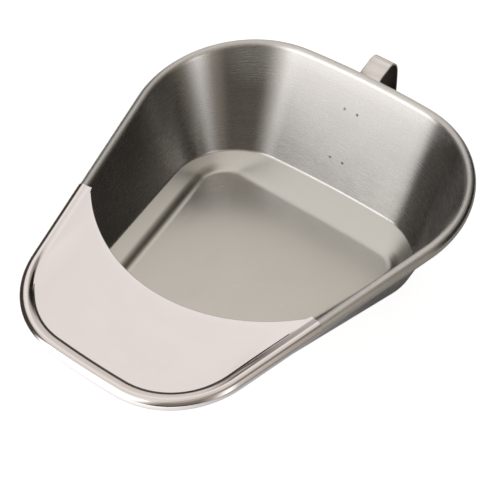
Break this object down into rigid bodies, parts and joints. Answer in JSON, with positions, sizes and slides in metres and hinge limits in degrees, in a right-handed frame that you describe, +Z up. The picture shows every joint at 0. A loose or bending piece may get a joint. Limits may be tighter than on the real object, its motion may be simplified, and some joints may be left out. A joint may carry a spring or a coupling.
{
  "type": "bedpan",
  "caption": "Steel slipper bedpan: deep tapered bowl with a rolled rim, a seat deck wrapped over the low front, and a strap handle on the high rear wall.",
  "frame": {"origin": "bottom centre of the whole object's box: on the plane the base stands on, midway between the deck's front and the handle's rear, at mid-width", "axes": "+Z up, +Y towards the handle and the high rear end, +X to the right when looking along +Y"},
  "size_m": [0.305, 0.3902, 0.1037],
  "materials": {
    "pan_steel": "satin-brushed stainless steel, fine marks running round the walls",
    "deck_steel": "buffed, nearly bright stainless steel",
    "handle_steel": "bright-rolled stainless strip with softened edges",
    "weld_steel": "dull fused metal with a faint heat tint"
  },
  "bodies": {
    "root": {"pan_body": "pan_steel", "deck_plate": "deck_steel", "deck_ear_tacks": "weld_steel", "handle_strap": "handle_steel", "handle_spot_welds": "weld_steel"}
  },
  "joints": []
}
